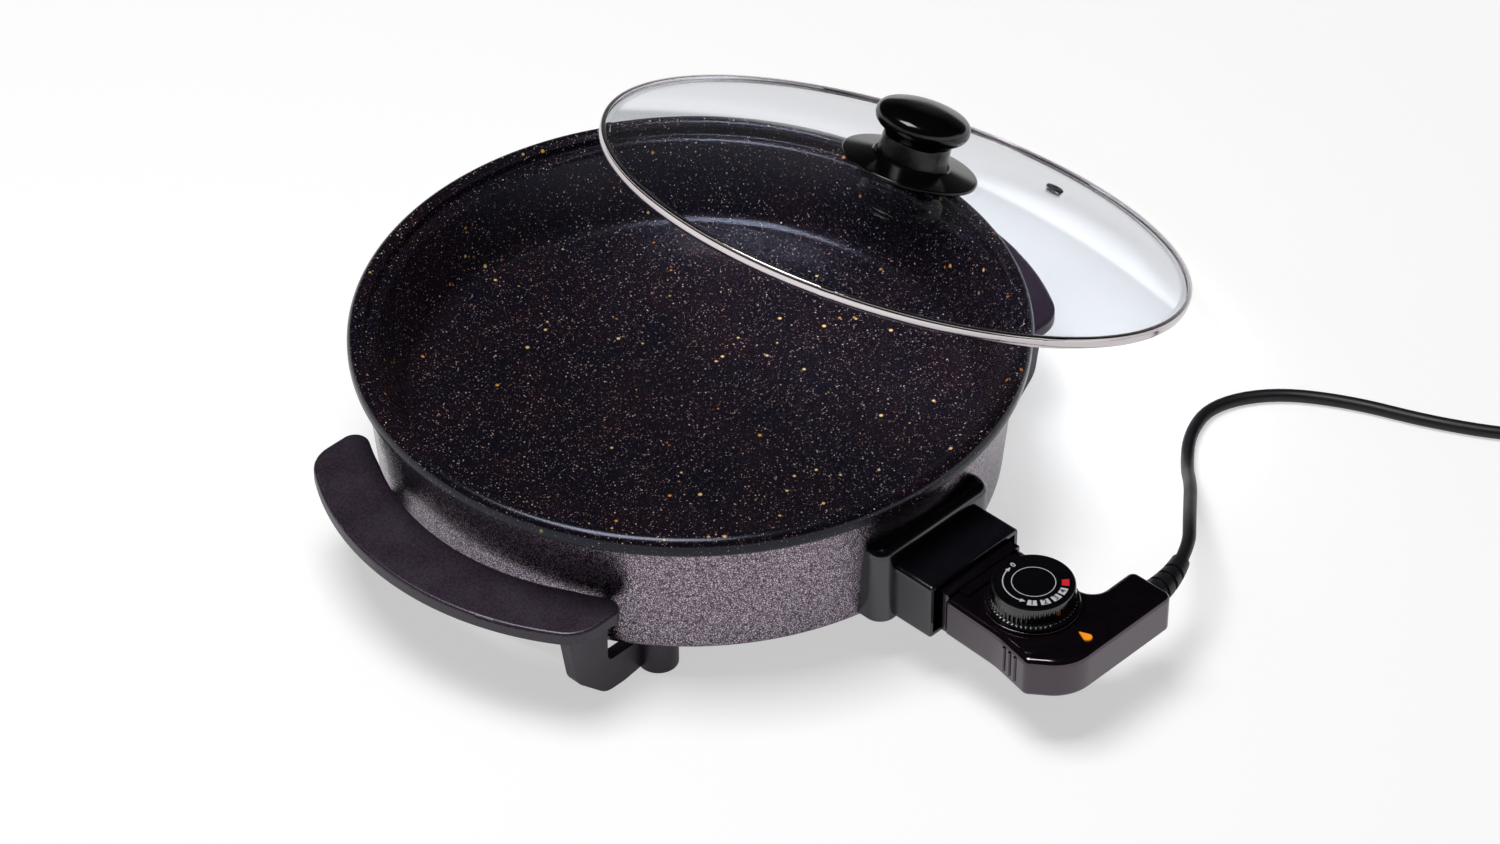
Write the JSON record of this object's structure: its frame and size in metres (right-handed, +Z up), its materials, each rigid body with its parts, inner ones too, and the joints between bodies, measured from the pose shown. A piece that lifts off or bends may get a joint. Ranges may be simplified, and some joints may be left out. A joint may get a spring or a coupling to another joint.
{
  "type": "electric baking pan",
  "caption": "Round electric baking pan with side handles that carry its feet, a plug-in temperature control with dial and cord, and a domed glass lid held open.",
  "frame": {"origin": "centre of the outer shell's flat underside, on the pan's axis", "axes": "+Z up along the pan's axis; +X towards the right handle; -Y towards the plug-in control"},
  "size_m": [0.7146, 0.6585, 0.1793],
  "materials": {
    "stone_coating": "matt black non-stick coating with fine grey, white and tan specks",
    "hammered_grey": "satin hammered grey paint",
    "handle_black": "fine moulded texture",
    "socket_black": "smooth moulded",
    "case_black": "glossy moulded",
    "dial_black": "glossy moulded",
    "lens_orange": "translucent",
    "lamp_glass": "clear",
    "phenolic": "moulded",
    "plated_steel": "zinc plated",
    "element_steel": "heat tinted",
    "brass": "bright",
    "pin_steel": "nickel plated",
    "ceramic": "unglazed ceramic",
    "cord_black": "satin sheath",
    "lid_glass": "clear toughened glass",
    "lid_steel": "polished stainless band",
    "knob_black": "glossy moulded",
    "silicone": "matt"
  },
  "bodies": {
    "pan": {"pan_liner": "stone_coating", "outer_shell": "hammered_grey", "heating_element": "element_steel", "element_clips": "plated_steel", "probe_guide": "element_steel", "terminal_block": "ceramic", "terminal_pins": "pin_steel", "socket_housing": "socket_black", "socket_screws": "plated_steel", "left_handle": "handle_black", "right_handle": "handle_black", "handle_screws": "plated_steel", "handle_nuts": "plated_steel"},
    "control": {"control_lower_case": "case_black", "control_upper_case": "case_black", "dial_collar": "case_black", "pointer_lens": "lens_orange", "pilot_lamp": "lamp_glass", "contact_carrier": "phenolic", "contact_sleeves": "brass", "probe_rod": "element_steel", "mechanism_frame": "plated_steel", "bimetal_blade": "brass", "stack_insulator": "phenolic", "contact_spring": "brass", "case_screws": "plated_steel", "cord_clamp": "phenolic", "strain_relief": "cord_black", "cord_run": "cord_black", "cord_coil": "cord_black", "plug_body": "cord_black", "plug_pins": "pin_steel", "plug_earth_contacts": "brass"},
    "dial": {"dial_knob": "dial_black", "dial_disc": "dial_black", "adjusting_spindle": "pin_steel"},
    "lid": {"lid_glass": "lid_glass", "lid_band": "lid_steel", "lid_knob_base": "knob_black", "lid_knob": "knob_black", "lid_washer": "silicone", "lid_screw": "plated_steel", "vent_grommet": "silicone"}
  },
  "joints": [
    {"name": "control_unplug", "type": "slide", "parent": "pan", "child": "control", "axis": [0, -1, 0], "range_m": [0, 0.09]},
    {"name": "dial_turn", "type": "hinge", "parent": "control", "child": "dial", "pos_m": [0, -0.27, 0.0375], "axis": [0, 0, 1], "range_deg": [-48, 186]},
    {"name": "lid_lift", "type": "slide", "parent": "pan", "child": "lid", "axis": [0, 0, 1], "range_m": [0, 0.12]}
  ]
}
